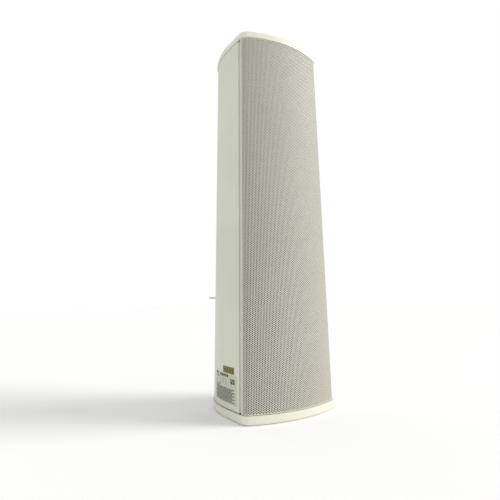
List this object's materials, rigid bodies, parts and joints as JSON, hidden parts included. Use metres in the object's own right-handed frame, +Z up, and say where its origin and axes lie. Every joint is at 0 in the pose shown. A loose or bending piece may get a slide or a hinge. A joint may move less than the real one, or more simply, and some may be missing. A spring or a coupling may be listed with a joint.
{
  "type": "column line array speaker",
  "caption": "Slim wall-mounted column loudspeaker with a curved perforated front, rounded sides, moulded end caps and swivel wall brackets.",
  "frame": {"origin": "centre of the bottom cap's underside, on the column's cross-section centre", "axes": "+Z up the column, -Y out of the grille towards the listener, +X to the listener's right"},
  "size_m": [0.154, 0.2141, 0.564],
  "materials": {
    "shell_paint": "satin off-white powder coat",
    "grille_paint": "satin off-white powder coat on perforated steel",
    "acoustic_cloth": "thin grey acoustic cloth",
    "baffle_board": "black painted fibreboard",
    "cap_plastic": "ivory moulded plastic, fine texture",
    "seal_rubber": "black closed-cell rubber",
    "zinc_steel": "bright zinc plate",
    "black_steel": "black oxide",
    "basket_steel": "black stamped steel",
    "magnet_ferrite": "ferrite ring with plated plates",
    "cone_paper": "black pressed paper",
    "surround_rubber": "soft black rubber",
    "spider_cloth": "resin-dipped cloth",
    "core_steel": "laminated silicon steel",
    "winding_tape": "yellow polyester tape",
    "block_plastic": "white nylon",
    "gland_plastic": "light grey nylon",
    "lead_sheath": "black soft sheath",
    "wadding_fibre": "white polyester wadding",
    "label_film": "matt printed film",
    "gold_film": "olive-gold film",
    "bracket_paint": "satin off-white powder coat on steel plate",
    "washer_nylon": "white nylon"
  },
  "bodies": {
    "column": {"enclosure_shell": "shell_paint", "front_grille": "grille_paint", "grille_cloth": "acoustic_cloth", "front_baffle": "baffle_board", "top_cap": "cap_plastic", "bottom_cap": "cap_plastic", "top_gasket": "seal_rubber", "bottom_gasket": "seal_rubber", "top_cap_screws": "zinc_steel", "bottom_cap_screws": "zinc_steel", "baffle_screws": "black_steel", "driver_basket_1": "basket_steel", "driver_magnet_1": "magnet_ferrite", "driver_surround_1": "surround_rubber", "driver_spider_1": "spider_cloth", "driver_basket_2": "basket_steel", "driver_magnet_2": "magnet_ferrite", "driver_surround_2": "surround_rubber", "driver_spider_2": "spider_cloth", "driver_basket_3": "basket_steel", "driver_magnet_3": "magnet_ferrite", "driver_surround_3": "surround_rubber", "driver_spider_3": "spider_cloth", "driver_basket_4": "basket_steel", "driver_magnet_4": "magnet_ferrite", "driver_surround_4": "surround_rubber", "driver_spider_4": "spider_cloth", "driver_gaskets": "seal_rubber", "driver_screws": "black_steel", "transformer_core": "core_steel", "transformer_winding": "winding_tape", "transformer_strap": "zinc_steel", "transformer_screws": "zinc_steel", "terminal_block": "block_plastic", "terminal_screws": "zinc_steel", "cable_gland": "gland_plastic", "gland_cap": "gland_plastic", "gland_nut": "gland_plastic", "supply_lead": "lead_sheath", "driver_wiring": "lead_sheath", "damping_wadding": "wadding_fibre", "rating_label": "label_film", "label_plate": "gold_film", "lower_bracket_base": "bracket_paint", "lower_pivot_bolt": "zinc_steel", "lower_pivot_nut": "zinc_steel", "lower_pivot_washers": "washer_nylon", "upper_bracket_base": "bracket_paint", "upper_pivot_bolt": "zinc_steel", "upper_pivot_nut": "zinc_steel", "upper_pivot_washers": "washer_nylon", "bracket_screws": "zinc_steel", "slot_nuts": "zinc_steel"},
    "cone_1": {"driver_cone_1": "cone_paper"},
    "cone_2": {"driver_cone_2": "cone_paper"},
    "cone_3": {"driver_cone_3": "cone_paper"},
    "cone_4": {"driver_cone_4": "cone_paper"},
    "lower_arm": {"lower_bracket_arm": "bracket_paint"},
    "upper_arm": {"upper_bracket_arm": "bracket_paint"}
  },
  "joints": [
    {"name": "cone_1_stroke", "type": "slide", "parent": "column", "child": "cone_1", "axis": [0, -1, 0], "range_m": [-0.003, 0.003], "stiffness_N_per_m": 1200, "deforming": ["driver_surround_1", "driver_spider_1"]},
    {"name": "cone_2_stroke", "type": "slide", "parent": "column", "child": "cone_2", "axis": [0, -1, 0], "range_m": [-0.003, 0.003], "stiffness_N_per_m": 1200, "deforming": ["driver_surround_2", "driver_spider_2"]},
    {"name": "cone_3_stroke", "type": "slide", "parent": "column", "child": "cone_3", "axis": [0, -1, 0], "range_m": [-0.003, 0.003], "stiffness_N_per_m": 1200, "deforming": ["driver_surround_3", "driver_spider_3"]},
    {"name": "cone_4_stroke", "type": "slide", "parent": "column", "child": "cone_4", "axis": [0, -1, 0], "range_m": [-0.003, 0.003], "stiffness_N_per_m": 1200, "deforming": ["driver_surround_4", "driver_spider_4"]},
    {"name": "lower_bracket_swivel", "type": "hinge", "parent": "column", "child": "lower_arm", "pos_m": [0, 0.08525, 0.153], "axis": [0, 0, 1], "range_deg": [-114, 46]},
    {"name": "upper_bracket_swivel", "type": "hinge", "parent": "column", "child": "upper_arm", "pos_m": [0, 0.08525, 0.411], "axis": [0, 0, 1], "range_deg": [-80, 80]}
  ]
}
